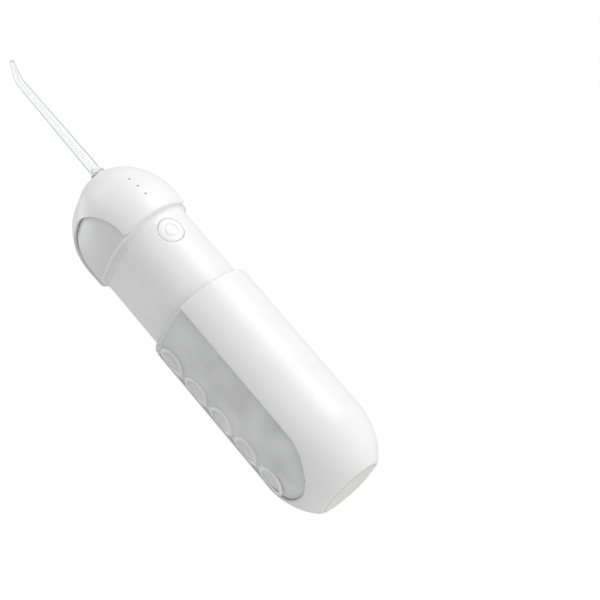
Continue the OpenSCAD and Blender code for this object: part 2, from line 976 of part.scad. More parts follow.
module pump_head() {
    color("lightgray")
        difference() {
            translate([head_x, gear_y - pump_out, rod_z - pump_out])
                cube([head_len, 2 * pump_out, 2 * pump_out]);
            translate([port_x, gear_y, 0]) {
                translate([0, 0, rod_z - chamber_half])
                    cylinder(r = chamber_r, h = 2 * chamber_half);
                translate([0, 0, seat_z])
                    cylinder(r = seat_r + run_gap, h = 3 * valve_t);
                translate([0, 0, rod_z - pump_out - eps])
                    cylinder(r = hose_bore, h = 2 * pump_out + 2 * eps);
            }
            translate([0, gear_y, rod_z])
                cylinder_x(hose_bore, head_x - eps, port_x - head_x + eps);
            for (y = [-pump_screw_y, pump_screw_y])
                translate([head_x + head_len / 2, gear_y + y, rod_z - pump_out - eps])
                    cylinder(r = pump_screw_r + run_gap, h = 2 * pump_out + 2 * eps);
        }
}

module valve_disc(r, z) {
    translate([port_x, gear_y, z])
        cylinder(r = r, h = valve_t);
}

module inlet_valve() {
    color("gray")
        valve_disc(valve_r, rod_z - chamber_half);
}

module valve_seat() {
    color("silver")
        difference() {
            valve_disc(seat_r, seat_z);
            translate([port_x, gear_y, rod_z])
                cylinder(r = hose_bore, h = chamber_half);
        }
}

module outlet_valve() {
    color("gray")
        valve_disc(valve_r, seat_z + valve_t);
}

module pump_screws() {
    color("silver")
        for (y = [-pump_screw_y, pump_screw_y])
            translate([head_x + head_len / 2, gear_y + y, 0]) {
                translate([0, 0, rod_z + pump_out])
                    cylinder(r = pump_screw_head_r, h = pump_screw_head_h);
                translate([0, 0, pump_screw_z])
                    cylinder(r = pump_screw_r, h = rod_z + pump_out - pump_screw_z);
            }
}

module outlet_hose() {
    low = rod_z + pump_out;
    high = socket_z - base_h;
    color("lightgray")
        hose([port_x, gear_y], [0, -nozzle_front], low, (low + high) / 2, high);
}

// ---------- nozzle and its socket ----------

module nozzle_socket() {
    neck = turret_r + run_gap;
    color("whitesmoke")
        translate([0, -nozzle_front, 0])
            difference() {
                union() {
                    translate([0, 0, socket_z])
                        cylinder(r = socket_flange, h = boss_z - socket_z);
                    translate([0, 0, boss_z])
                        cylinder(r = socket_r, h = nozzle_z - boss_z - socket_sink);
                }
                translate([0, 0, socket_z - eps])
                    cylinder(r = neck, h = 2 * nozzle_z);
                translate([0, 0, socket_z - eps])
                    cylinder(r = neck + turret_flange + run_gap, h = turret_flange_h + 2 * run_gap + eps);
            }
}

module socket_base() {
    color("whitesmoke")
        translate([0, -nozzle_front, socket_z - base_h])
            difference() {
                cylinder(r = socket_flange, h = base_h);
                translate([0, 0, -eps])
                    cylinder(r = hose_bore, h = base_h + 2 * eps);
            }
}

module nozzle_turret() {
    color("whitesmoke")
        translate([0, -nozzle_front, socket_z + run_gap])
            difference() {
                union() {
                    cylinder(r = turret_r, h = nozzle_z - socket_z - turret_sink);
                    cylinder(r = turret_r + turret_flange, h = turret_flange_h);
                }
                translate([0, 0, -eps])
                    cylinder(r = stem_r + run_gap, h = nozzle_z);
            }
}

module water_nozzle() {
    color("lightcyan", 0.5)
        translate([0, -nozzle_front, nozzle_z])
            difference() {
                nozzle_shape(stem_r, nozzle_base_r, nozzle_bend_r, nozzle_tip_r, collar_r, 0);
                nozzle_shape(nozzle_bore, nozzle_bore, nozzle_bore, nozzle_bore * 0.7, nozzle_bore, eps);
                translate([0, 0, stem_ring_z - stem_len])
                    difference() {
                        cylinder(r = stem_r + eps, h = 2 * ring_r);
                        cylinder(r = stem_r - ring_r, h = 2 * ring_r);
                    }
            }
}

// Stem, collar, tapered tube, bend and tip; over lengthens both ends for the bore
module nozzle_shape(stem, base, bend, tip, collar, over) {
    translate([0, 0, -stem_len - over])
        cylinder(r = stem, h = stem_len + over + 0.1);
    translate([0, 0, 0.1])
        cylinder(r1 = base, r2 = bend, h = nozzle_len - 0.1);
    translate([0, 0, 0.1])
        cylinder(r1 = collar, r2 = base, h = collar_h);
    translate([0, 0, nozzle_len])
        sphere(bend);
    translate([0, 0, nozzle_len])
        rotate([tip_angle, 0, 0])
            cylinder(r1 = bend, r2 = tip, h = tip_len + over);
}

module nozzle_seal() {
    color("dimgray")
        translate([0, -nozzle_front, nozzle_z - stem_len + stem_ring_z])
            difference() {
                cylinder(r = stem_r, h = 2 * ring_r);
                translate([0, 0, -eps])
                    cylinder(r = stem_r - ring_r + run_gap, h = 2);
            }
}

// ---------- lights and charging port ----------

module light_guide() {
    low = head_rim + light_lifts[0] - guide_w / 2;
    high = head_rim + light_lifts[2] + guide_w / 2;
    color("lightgray")
        intersection() {
            union() {
                translate([-guide_w / 2, guide_y, low])
                    cube([guide_w, guide_t, high - low]);
                light_holes(light_r);
            }
            head_solid(half_w, head_dome_h, head_rim);
        }
}

module indicator_board() {
    low = head_rim + light_lifts[0] - guide_w / 2;
    high = head_rim + light_lifts[2] + guide_w / 2;
    color("darkgreen")
        translate([-post_x - post_r, guide_y + guide_t, low])
            cube([2 * (post_x + post_r), guide_t, high - low]);
}

module charge_board() {
    color("darkgreen")
        translate([-charge_w / 2, charge_y, port_z - charge_t])
            cube([charge_w, charge_len, charge_t]);
}

module charge_port() {
    color("silver")
        translate([-port_w / 2, cover_floor - port_len, port_z])
            difference() {
                cube([port_w, port_len, port_h]);
                translate([port_skin, 2 * port_skin, port_skin])
                    cube([port_w - 2 * port_skin, port_len, port_h - 2 * port_skin]);
            }
}

outer_shell();
water_tank();
wiper_seal();
base_pad();
head_dome();
arch_panels();
head_gasket();
middle_sleeve();
bottom_cap();
tank_seal();
intake_pipe();
intake_filter();
inlet_hose();
inner_frame();
battery();
battery_tabs();
circuit_board();
power_switch();
motor_can();
motor_magnets();
motor_end_cap();
motor_screws();
gear_axle();
pump_cylinder();
pump_head();
inlet_valve();
valve_seat();
outlet_valve();
pump_screws();
outlet_hose();
nozzle_socket();
socket_base();
light_guide();
indicator_board();
charge_board();
charge_port();
power_button();
nozzle_turret();
water_nozzle();
nozzle_seal();
motor_shaft();
motor_armature();
motor_pinion();
drive_gear();
pump_rod();
piston_cup();
port_cover();
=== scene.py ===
"""Looks of a telescoping water flosser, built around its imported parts."""
import json
import math

import bpy
from mathutils import Matrix, Vector

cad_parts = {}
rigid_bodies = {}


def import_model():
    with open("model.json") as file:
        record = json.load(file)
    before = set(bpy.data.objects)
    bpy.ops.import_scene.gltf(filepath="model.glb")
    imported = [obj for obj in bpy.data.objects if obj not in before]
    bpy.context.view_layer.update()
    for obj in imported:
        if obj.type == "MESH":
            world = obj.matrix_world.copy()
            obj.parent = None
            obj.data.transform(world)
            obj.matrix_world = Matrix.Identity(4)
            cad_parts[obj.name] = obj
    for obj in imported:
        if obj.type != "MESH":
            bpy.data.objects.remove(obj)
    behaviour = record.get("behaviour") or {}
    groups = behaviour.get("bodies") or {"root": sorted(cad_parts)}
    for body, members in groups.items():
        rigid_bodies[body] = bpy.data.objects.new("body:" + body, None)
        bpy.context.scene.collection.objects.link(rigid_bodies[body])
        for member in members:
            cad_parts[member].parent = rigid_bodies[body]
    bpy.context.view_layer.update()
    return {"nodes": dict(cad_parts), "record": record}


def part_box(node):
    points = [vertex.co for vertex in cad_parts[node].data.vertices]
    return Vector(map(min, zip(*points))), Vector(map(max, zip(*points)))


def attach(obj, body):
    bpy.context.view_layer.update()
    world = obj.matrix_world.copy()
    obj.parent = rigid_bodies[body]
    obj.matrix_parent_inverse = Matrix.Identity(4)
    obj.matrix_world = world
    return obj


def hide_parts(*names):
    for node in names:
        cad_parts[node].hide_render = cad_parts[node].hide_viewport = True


bl_info = {
    "name": "Water Flosser Finisher",
    "version": (1, 0, 0),
    "blender": (4, 5, 0),
    "location": "3D View > Sidebar > Flosser",
    "description": "Models the outside of a water flosser and gives every part its finish",
    "category": "Object",
}

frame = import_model()

MM = 0.001
STEPS = 128                     # steps of a full turn
NEAR = 1e-6                     # points this close to a middle plane stay on it

HEAD_FILLET = 2 * MM            # fillet between the head and the sleeve
PANEL_DEPTH = 0.9 * MM          # wall of the arch panels
ARCH_LOW = 0.1 * MM             # how far the arches run past the head's edge
BEAD_RADIUS = 0.45 * MM         # section of the snap beads
BEAD_SINK = 0.25 * MM           # how far a bead's middle lies inside its wall
RING_COUNT = 5                  # moulded rings on each side of the tank
RING_ANGLE = math.radians(12.5)         # turn of the rings round the tank's back curve
LENS_LIFTS = (10.7 * MM, 16.5 * MM, 22.5 * MM)      # lenses above the head's edge
NOZZLE_STEM = 13 * MM           # part of the nozzle that plugs into the turret
# The rings' lower clearness makes them whiter than the tank: a painted highlight for their bright
# rims.
TANK_CLARITY, RING_HIGHLIGHT_CLARITY = 0.4, 0.2

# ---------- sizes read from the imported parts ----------

SEAL_LOW, SEAL_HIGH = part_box("tank_seal")
SHELL_LOW, SHELL_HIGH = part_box("outer_shell")
HEAD_LOW, HEAD_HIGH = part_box("head_dome")
SLEEVE_LOW, SLEEVE_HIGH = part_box("middle_sleeve")
BUTTON_LOW, BUTTON_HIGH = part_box("power_button")
NOZZLE_LOW, NOZZLE_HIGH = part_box("water_nozzle")
RING_LOW, RING_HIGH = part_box("nozzle_seal")
COVER_LOW, COVER_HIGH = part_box("port_cover")
PORT_LOW, PORT_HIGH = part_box("charge_port")
PAD_LOW, PAD_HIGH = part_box("base_pad")
WIPER_LOW, WIPER_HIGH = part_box("wiper_seal")

STRETCH = ((SEAL_HIGH.y - SEAL_LOW.y) - (SEAL_HIGH.x - SEAL_LOW.x)) / 2
HALF_W = SHELL_HIGH.y - STRETCH
NOZZLE_Y = (RING_LOW.y + RING_HIGH.y) / 2
BUTTON_Z = (BUTTON_LOW.z + BUTTON_HIGH.z) / 2


# ---------- sizes and colours that a user would change ----------

def length(label, note, value_mm):
    """A length property with its default in millimetres."""
    return bpy.props.FloatProperty(name=label, description=note, default=value_mm * MM,
                                   min=0.0, unit="LENGTH", precision=5)


def tint(label, note, value):
    """A colour property."""
    return bpy.props.FloatVectorProperty(name=label, description=note, default=value,
                                         size=3, min=0.0, max=1.0, subtype="COLOR")


class FlosserSizes(bpy.types.PropertyGroup):
    """Walls, windows and small shapes of the flosser's outside."""
    shell_wall: length("Shell wall", "Wall of the outer shell", 1.6)
    tank_wall: length("Tank wall", "Wall of the clear tank", 1.2)
    head_wall: length("Head wall", "Wall of the head", 1.8)
    sleeve_wall: length("Sleeve wall", "Wall of the middle sleeve", 1.6)
    slide_gap: length("Slide gap", "Gap between the sleeve and the tank", 0.7)
    seat_gap: length("Seat gap", "Gap between the tank and the shell", 0.1)
    foot_round: length("Foot height", "Height of the rounded lower end", 29.3)
    foot_half: length("Foot half width", "Half width of the flat base", 15.25)
    window_half: length("Window half width", "Half width of the side windows", 22.3)
    arch_half: length("Arch half width", "Half width of the head's arches", 23.7)
    arch_lift: length("Arch lift", "Height of the arch's centre above the head's edge", 2.75)
    window_centre: length("Window centre", "Height of the window's lower arc", 33.0)
    head_straight: length("Head straight", "Height of the head's straight part", 8.0)
    ring_pitch: length("Ring pitch", "Distance between the tank's rings", 19.1)
    ring_first: length("First ring", "Height of the lowest ring", 27.0)
    ring_radius: length("Ring radius", "Outer radius of a moulded ring", 8.5)
    ring_band: length("Ring band", "Width of a ring's raised band", 2.2)
    ring_raise: length("Ring height", "Height of the raised band", 0.6)
    button_radius: length("Button radius", "Radius of the power button", 6.6)
    button_gap: length("Button gap", "Gap around the power button", 0.18)
    nozzle_length: length("Nozzle length", "Height of the nozzle's bend above the head", 66.5)
    tip_length: length("Tip length", "Length of the bent tip", 10.5)
    tip_angle: bpy.props.FloatProperty(name="Tip angle", description="Angle of the bent tip",
                                       default=math.radians(43), subtype="ANGLE")
    edge_round: length("Edge rounding", "Rounding of the cut edges", 0.35)


class FlosserColours(bpy.types.PropertyGroup):
    """Colours of the flosser's visible finishes."""
    shell_white: tint("Shell white", "White of the shell, head and sleeve", (0.85, 0.85, 0.85))
    panel_grey: tint("Panel grey", "Pale grey of the arch panels", (0.78, 0.78, 0.785))
    tank_clear: tint("Tank", "Tint of the clear tank", (0.98, 0.985, 0.985))
    nozzle_clear: tint("Nozzle", "Tint of the clear nozzle", (0.95, 0.955, 0.96))
    seal_grey: tint("Seal grey", "Grey of the rubber seals", (0.16, 0.16, 0.165))
    floor_pale: tint("Floor", "Colour of the floor", (0.92, 0.92, 0.92))


def sizes():
    return bpy.context.scene.flosser_sizes


def colours():
    return bpy.context.scene.flosser_colours


def tank_half():
    """Half width of the tank's outside."""
    return HALF_W - sizes().shell_wall - sizes().seat_gap


def sleeve_half():
    """Half width of the sleeve's outside."""
    return tank_half() - sizes().tank_wall - sizes().slide_gap


def head_base():
    """Height of the head's lower edge, above the fillet on the sleeve."""
    return HEAD_LOW.z + HEAD_FILLET


def head_spring():
    """Height at which the head's dome starts."""
    return head_base() + sizes().head_straight


# ---------- modelling helpers ----------

def deselect():
    """Leaves edit mode and selects nothing."""
    active = bpy.context.view_layer.objects.active
    if active is not None and active.mode != "OBJECT":
        bpy.ops.object.mode_set(mode="OBJECT")
    for obj in bpy.context.view_layer.objects:
        obj.select_set(False)


def work_on(obj):
    """Makes obj the only selected and active object."""
    deselect()
    bpy.context.view_layer.objects.active = obj
    obj.select_set(True)


def settle(obj):
    """Puts the object's place into its mesh."""
    work_on(obj)
    bpy.ops.object.transform_apply(location=True, rotation=True, scale=True)


def select_points(obj, test):
    """Selects the points that pass the test, and leaves obj in edit mode."""
    work_on(obj)
    bpy.ops.object.mode_set(mode="EDIT")
    bpy.ops.mesh.select_mode(type="VERT")
    bpy.ops.mesh.select_all(action="DESELECT")
    bpy.ops.object.mode_set(mode="OBJECT")
    for point in obj.data.vertices:
        point.select = bool(test(point.co))
    bpy.ops.object.mode_set(mode="EDIT")


def shift_points(obj, test, offset):
    """Moves the points that pass the test."""
    select_points(obj, test)
    bpy.ops.transform.translate(value=offset)
    bpy.ops.object.mode_set(mode="OBJECT")


def draw_outline(name, points):
    """Extrudes one point along a list of places."""
    deselect()
    bpy.ops.mesh.primitive_plane_add(size=MM, location=points[0])
    obj = bpy.context.object
    obj.name = obj.data.name = name
    settle(obj)
    bpy.ops.object.mode_set(mode="EDIT")
    bpy.ops.mesh.select_mode(type="VERT")
    bpy.ops.mesh.select_all(action="SELECT")
    bpy.ops.mesh.merge(type="CENTER")
    for here, there in zip(points, points[1:]):
        bpy.ops.mesh.extrude_region_move(TRANSFORM_OT_translate={"value": there - here})
    return obj


def turn_outline(name, outline, centre=(0.0, 0.0), steps=STEPS):
    """Spins a half outline of (radius, height) about an upright axis."""
    half_step = math.pi / steps
    cx, cy = centre
    points = [Vector((cx + r * math.cos(half_step), cy + r * math.sin(half_step), z))
              for r, z in outline]
    obj = draw_outline(name, points)
    bpy.ops.mesh.select_all(action="SELECT")
    bpy.ops.mesh.spin(steps=steps, angle=2 * math.pi, center=(cx, cy, 0.0), axis=(0, 0, 1))
    tidy_mesh()
    return obj


def tidy_mesh(gap=2e-6):
    """Merges doubles and turns the faces outwards, from edit mode to object mode."""
    bpy.ops.mesh.select_all(action="SELECT")
    bpy.ops.mesh.remove_doubles(threshold=gap)
    bpy.ops.mesh.dissolve_degenerate(threshold=gap)
    bpy.ops.mesh.select_all(action="SELECT")
    bpy.ops.mesh.normals_make_consistent(inside=False)
    bpy.ops.object.mode_set(mode="OBJECT")


def oval_body(name, outline, steps=STEPS):
    """Turned body whose front and back halves are moved apart, which makes it oval."""
    obj = turn_outline(name, outline, steps=steps)
    shift_points(obj, lambda p: p.y > NEAR, (0, STRETCH, 0))
    shift_points(obj, lambda p: p.y < -NEAR, (0, -STRETCH, 0))
    return obj


def arc(x, z, radius, start, end, count):
    """Points of an arc in an outline; angles in degrees."""
    step = math.radians(end - start) / count
    first = math.radians(start)
    return [(x + radius * math.cos(first + step * i), z + radius * math.sin(first + step * i))
            for i in range(count + 1)]


def dome(half, low, rise, count=40):
    """Outline of a dome, from its base to its top."""
    turns = [math.pi / 2 * i / count for i in range(count)]
    return ([(half * math.cos(turn), low + rise * math.sin(turn)) for turn in turns]
            + [(0.0, low + rise)])


def foot(half, drop, low, count=24):
    """Outline of the rounded lower end, from height low upwards."""
    turn = math.asin((sizes().foot_round - low) / drop)
    return [(half * math.cos(turn * (1 - i / count)),
             sizes().foot_round - drop * math.sin(turn * (1 - i / count)))
            for i in range(count + 1)]


def foot_drop():
    """Depth of the full curve that rounds the lower end."""
    turn = math.acos(sizes().foot_half / HALF_W)
    return (sizes().foot_round - SHELL_LOW.z) / math.sin(turn)


def window_prism(name, radius, centre, reach, depth):
    """Prism along X with one round end; the other end is moved away by reach."""
    deselect()
    bpy.ops.mesh.primitive_cylinder_add(vertices=STEPS, radius=radius, depth=depth,
                                        location=(0, 0, centre), rotation=(0, math.pi / 2, 0))
    obj = bpy.context.object
    obj.name = name
    settle(obj)
    if reach > 0:
        shift_points(obj, lambda p: p.z > centre + NEAR, (0, 0, reach))
    else:
        shift_points(obj, lambda p: p.z < centre - NEAR, (0, 0, reach))
    return obj


def block(name, low, high):
    """Box between two corners, for use as a tool."""
    deselect()
    low, high = Vector(low), Vector(high)
    bpy.ops.mesh.primitive_cube_add(size=1, location=(low + high) / 2)
    obj = bpy.context.object
    obj.name = name
    obj.scale = high - low
    settle(obj)
    return obj


def rod_y(name, radius, x, z, start, end, sides=64):
    """Round bar along Y, for use as a tool."""
    deselect()
    bpy.ops.mesh.primitive_cylinder_add(vertices=sides, radius=radius, depth=end - start,
                                        location=(x, (start + end) / 2, z),
                                        rotation=(math.pi / 2, 0, 0))
    obj = bpy.context.object
    obj.name = name
    settle(obj)
    return obj


def on_oval(half, along, out, up):
    """Place on the oval of a half width, at a distance along it and out from it."""
    if abs(along) <= STRETCH:
        return (half + out, along, up)
    turn = (abs(along) - STRETCH) / half
    y = STRETCH + (half + out) * math.sin(turn)
    return ((half + out) * math.cos(turn), math.copysign(y, along), up)


def bead(name, side, half, reach, z, radius):
    """Bar with round ends that follows one flat side of an oval."""
    count = 40
    straight = reach - radius
    outline = (arc(0.0, -straight, radius, -90, 0, 6)[:-1]
               + [(radius, -straight + 2 * straight * i / count) for i in range(count + 1)]
               + arc(0.0, straight, radius, 0, 90, 6)[1:])
    obj = turn_outline(name, outline, steps=20)
    for point in obj.data.vertices:
        x, y, up = on_oval(half, point.co.z, point.co.x, z + point.co.y)
        point.co = (side * x, y, up)
    face_outwards(obj)
    return obj


def face_outwards(obj):
    """Turns the faces outwards."""
    work_on(obj)
    bpy.ops.object.mode_set(mode="EDIT")
    bpy.ops.mesh.select_all(action="SELECT")
    bpy.ops.mesh.normals_make_consistent(inside=False)
    bpy.ops.object.mode_set(mode="OBJECT")


def carve(obj, tool, way="DIFFERENCE"):
    """Cuts obj with a tool, or joins it to the tool, and removes the tool."""
    work_on(obj)
    step = obj.modifiers.new("carve", "BOOLEAN")
    step.operation = way
    step.solver = "EXACT"
    step.object = tool
    bpy.ops.object.modifier_apply(modifier=step.name)
    bpy.data.objects.remove(tool)
    if not obj.data.polygons:
        raise RuntimeError(f"{obj.name} has nothing left after a cut")


def soften_edges(obj, width, angle=38.0, segments=3):
    """Rounds the sharp edges."""
    work_on(obj)
    bpy.ops.object.mode_set(mode="EDIT")
    bpy.ops.mesh.select_all(action="SELECT")
    bpy.ops.mesh.remove_doubles(threshold=2e-5)
    bpy.ops.object.mode_set(mode="OBJECT")
    step = obj.modifiers.new("round", "BEVEL")
    step.limit_method = "ANGLE"
    step.angle_limit = math.radians(angle)
    step.width = width
    step.segments = segments
    step.use_clamp_overlap = False
    bpy.ops.object.modifier_apply(modifier=step.name)


def finish_piece(obj, body, material, nodes=(), smooth=32.0):
    """Shades a piece, gives it its material, attaches it to its body and hides the imported parts
    it replaces.
    """
    work_on(obj)
    bpy.ops.object.shade_smooth_by_angle(angle=math.radians(smooth))
    obj.data.materials.clear()
    obj.data.materials.append(material)
    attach(obj, body)
    if nodes:
        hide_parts(*nodes)
    deselect()


# ---------- materials ----------

class Finish:
    """A material under construction, with Object coordinates for its patterns."""

    def __init__(self, name, colour, rough):
        self.material = bpy.data.materials.new(name)
        self.material.use_nodes = True
        self.material.diffuse_color = (*colour, 1.0)
        self.tree = self.material.node_tree
        self.shader = self.tree.nodes["Principled BSDF"]
        self.shader.inputs["Base Color"].default_value = (*colour, 1.0)
        self.shader.inputs["Roughness"].default_value = rough
        self.colour = colour
        self.place = self.tree.nodes.new("ShaderNodeTexCoord").outputs["Object"]

    def set(self, **values):
        for key, value in values.items():
            self.shader.inputs[key.replace("_", " ")].default_value = value
        return self

    def stretched(self, scale):
        mapping = self.tree.nodes.new("ShaderNodeMapping")
        mapping.inputs["Scale"].default_value = scale
        self.tree.links.new(self.place, mapping.inputs["Vector"])
        return mapping.outputs["Vector"]

    def noise(self, scale, detail=3.0, source=None):
        node = self.tree.nodes.new("ShaderNodeTexNoise")
        node.inputs["Scale"].default_value = scale
        node.inputs["Detail"].default_value = detail
        self.tree.links.new(source or self.place, node.inputs["Vector"])
        return node.outputs["Fac"]

    def bands(self, scale, direction="Z", source=None):
        node = self.tree.nodes.new("ShaderNodeTexWave")
        node.wave_type = "BANDS"
        node.bands_direction = direction
        node.inputs["Scale"].default_value = scale
        self.tree.links.new(source or self.place, node.inputs["Vector"])
        return node.outputs["Fac"]

    def cells(self, scale):
        node = self.tree.nodes.new("ShaderNodeTexVoronoi")
        node.inputs["Scale"].default_value = scale
        self.tree.links.new(self.place, node.inputs["Vector"])
        return node.outputs["Distance"]

    def vary_colour(self, pattern, spread, low=0.35, high=0.65):
        """Runs the base colour between darker and lighter by a share."""
        dark = tuple(part * (1 - spread) for part in self.colour)
        light = tuple(min(1.0, part * (1 + spread)) for part in self.colour)
        self.tree.links.new(self.ramp(pattern, low, high, dark, light),
                            self.shader.inputs["Base Color"])
        return self

    def ramp(self, pattern, low, high, first, last):
        """Runs from a first to a last colour between two values of a pattern."""
        ramp = self.tree.nodes.new("ShaderNodeValToRGB")
        for stop, place, colour in zip(ramp.color_ramp.elements, (low, high), (first, last)):
            stop.position = place
            stop.color = (*colour, 1.0)
        self.tree.links.new(pattern, ramp.inputs["Fac"])
        return ramp.outputs["Color"]

    def span(self, pattern, low, high, start=0.0, end=1.0):
        """Carries a pattern's values from start and end to low and high."""
        reach = self.tree.nodes.new("ShaderNodeMapRange")
        reach.inputs["From Min"].default_value = start
        reach.inputs["From Max"].default_value = end
        reach.inputs["To Min"].default_value = low
        reach.inputs["To Max"].default_value = high
        self.tree.links.new(pattern, reach.inputs["Value"])
        return reach.outputs["Result"]

    def vary_rough(self, pattern, low, high):
        self.tree.links.new(self.span(pattern, low, high), self.shader.inputs["Roughness"])
        return self

    def vary_clear(self, pattern, low, high, start=0.35, end=0.65):
        """Runs from a low to a high clearness, and gives the clearness back."""
        clearness = self.span(pattern, low, high, start, end)
        self.tree.links.new(clearness, self.shader.inputs["Transmission Weight"])
        return clearness

    def height(self):
        """Height on the piece."""
        split = self.tree.nodes.new("ShaderNodeSeparateXYZ")
        self.tree.links.new(self.place, split.inputs["Vector"])
        return split.outputs["Z"]

    def bump(self, pattern, strength, distance_mm):
        node = self.tree.nodes.new("ShaderNodeBump")
        node.inputs["Strength"].default_value = strength
        node.inputs["Distance"].default_value = distance_mm * MM
        self.tree.links.new(pattern, node.inputs["Height"])
        self.tree.links.new(node.outputs["Normal"], self.shader.inputs["Normal"])
        return self


def satin_plastic(name, colour, rough=0.38):
    """Smooth moulded plastic with a faint flow variation and a fine satin grain."""
    finish = Finish(name, colour, rough).set(IOR=1.46)
    finish.vary_colour(finish.noise(45, 2.0), 0.012)
    finish.vary_rough(finish.noise(160, 3.0), rough - 0.04, rough + 0.04)
    finish.bump(finish.noise(2600, 2.0), 0.06, 0.02)
    return finish.material


def matt_plastic(name, colour, rough=0.55):
    """Moulded plastic with a slightly coarser grain."""
    finish = Finish(name, colour, rough).set(IOR=1.46)
    finish.vary_colour(finish.noise(90, 3.0), 0.03)
    finish.vary_rough(finish.noise(240, 3.0), rough - 0.06, rough + 0.06)
    finish.bump(finish.noise(1800, 3.0), 0.12, 0.03)
    return finish.material


def clear_plastic(name, colour, rough, clarity):
    """Clear moulded plastic; a fine etch blurs and whitens what is behind it."""
    finish = Finish(name, colour, rough).set(IOR=1.49)
    finish.vary_clear(finish.noise(45, 1.0), 0.8 * clarity, 1.2 * clarity)
    flow_marks(finish, rough)
    return finish.material


def flow_marks(finish, rough):
    """Faint ripples that clear plastic keeps from its mould."""
    finish.vary_rough(finish.noise(120, 2.0), max(0.0, rough - 0.03), rough + 0.03)
    finish.bump(finish.noise(260, 2.0), 0.03, 0.05)


def clear_tube(name, colour, rough):
    """Clear tube with a milky collar; painted shade runs its colour to grey towards its outlines,
    in place of the dark edges that refraction gives it.
    """
    finish = Finish(name, colour, rough).set(IOR=1.49)
    collar = NOZZLE_LOW.z + NOZZLE_STEM + 2.5 * MM
    clearness = finish.vary_clear(finish.height(), 0.15, 1.0, collar, collar + 1.5 * MM)
    # Painted shade: the base colour turns dark grey where the surface faces away from view,
    # standing in for the dark refracted edges.
    edge = finish.tree.nodes.new("ShaderNodeLayerWeight")
    edge.inputs["Blend"].default_value = 0.5
    grey = tuple(0.06 * part for part in colour)
    blend = finish.tree.nodes.new("ShaderNodeMix")
    blend.data_type = "RGBA"
    blend.inputs["A"].default_value = (*colour, 1.0)
    finish.tree.links.new(clearness, blend.inputs["Factor"])
    finish.tree.links.new(finish.ramp(edge.outputs["Facing"], 0.3, 0.8, colour, grey),
                          blend.inputs["B"])
    finish.tree.links.new(blend.outputs["Result"], finish.shader.inputs["Base Color"])
    flow_marks(finish, rough)
    return finish.material


def soft_rubber(name, colour, rough=0.7):
    """Seal rubber with a dull moulded grain."""
    finish = Finish(name, colour, rough).set(IOR=1.5, Sheen_Weight=0.15)
    finish.vary_colour(finish.noise(300, 3.0), 0.08)
    finish.bump(finish.noise(1500, 3.0), 0.25, 0.04)
    return finish.material


def milky_hose(name, colour):
    """Milky silicone tube."""
    finish = Finish(name, colour, 0.35).set(IOR=1.41, Transmission_Weight=0.45)
    finish.vary_colour(finish.noise(220, 2.0), 0.03)
    finish.bump(finish.noise(900, 2.0), 0.1, 0.03)
    return finish.material


def brushed_metal(name, colour, rough, scale=(60, 60, 2400)):
    """Metal with fine turned or drawn lines."""
    finish = Finish(name, colour, rough).set(Metallic=1.0)
    lines = finish.noise(1.0, 4.0, finish.stretched(scale))
    finish.vary_colour(lines, 0.08)
    finish.vary_rough(lines, rough - 0.08, rough + 0.1)
    finish.bump(lines, 0.15, 0.02)
    return finish.material


def dull_magnet(name, colour):
    """Sintered magnet with a grainy grey face."""
    finish = Finish(name, colour, 0.6).set(Metallic=0.7)
    finish.vary_colour(finish.cells(900), 0.25, 0.1, 0.6)
    finish.bump(finish.cells(900), 0.2, 0.05)
    return finish.material


def wound_copper(name, colour):
    """Lacquered copper wire laid in turns, with painted shade between the turns and painted
    highlight on their crowns.
    """
    finish = Finish(name, colour, 0.3).set(Metallic=0.9, Coat_Weight=0.4)
    turns = finish.bands(420, "Z")
    # Painted shade and highlight: the colour runs dark in the grooves between turns and light on
    # each turn's crown.
    finish.vary_colour(turns, 0.35, 0.1, 0.9)
    finish.bump(turns, 0.6, 0.12)
    return finish.material


def shrink_wrap(name, colour):
    """Plain shrink film on the cell, with faint creases."""
    finish = Finish(name, colour, 0.28).set(Coat_Weight=0.3)
    creases = finish.noise(1.0, 3.0, finish.stretched((300, 300, 25)))
    finish.vary_colour(creases, 0.06)
    finish.bump(creases, 0.2, 0.06)
    return finish.material


def circuit_card(name, colour):
    """Solder mask over copper tracks."""
    finish = Finish(name, colour, 0.32).set(Coat_Weight=0.2)
    brick = finish.tree.nodes.new("ShaderNodeTexBrick")
    brick.inputs["Color1"].default_value = (*colour, 1.0)
    brick.inputs["Color2"].default_value = (*(c * 0.8 for c in colour), 1.0)
    brick.inputs["Mortar"].default_value = (*(c * 1.7 for c in colour), 1.0)
    brick.inputs["Scale"].default_value = 260
    brick.inputs["Mortar Size"].default_value = 0.06
    finish.tree.links.new(finish.place, brick.inputs["Vector"])
    finish.tree.links.new(brick.outputs["Color"], finish.shader.inputs["Base Color"])
    finish.bump(brick.outputs["Fac"], 0.2, 0.04)
    return finish.material


def lit_lens(name, colour):
    """Smoky light lens."""
    finish = Finish(name, colour, 0.18).set(IOR=1.5, Transmission_Weight=0.15)
    finish.vary_colour(finish.noise(400, 2.0), 0.05)
    finish.bump(finish.noise(1400, 1.0), 0.05, 0.02)
    return finish.material


def record_colour(slot_name):
    """Colour that the record gives for a material slot."""
    for entry in frame["record"]["materials"]:
        if entry["slot"] == slot_name:
            return tuple(entry["base_color"][:3])
    raise RuntimeError(f"the record has no slot {slot_name}")


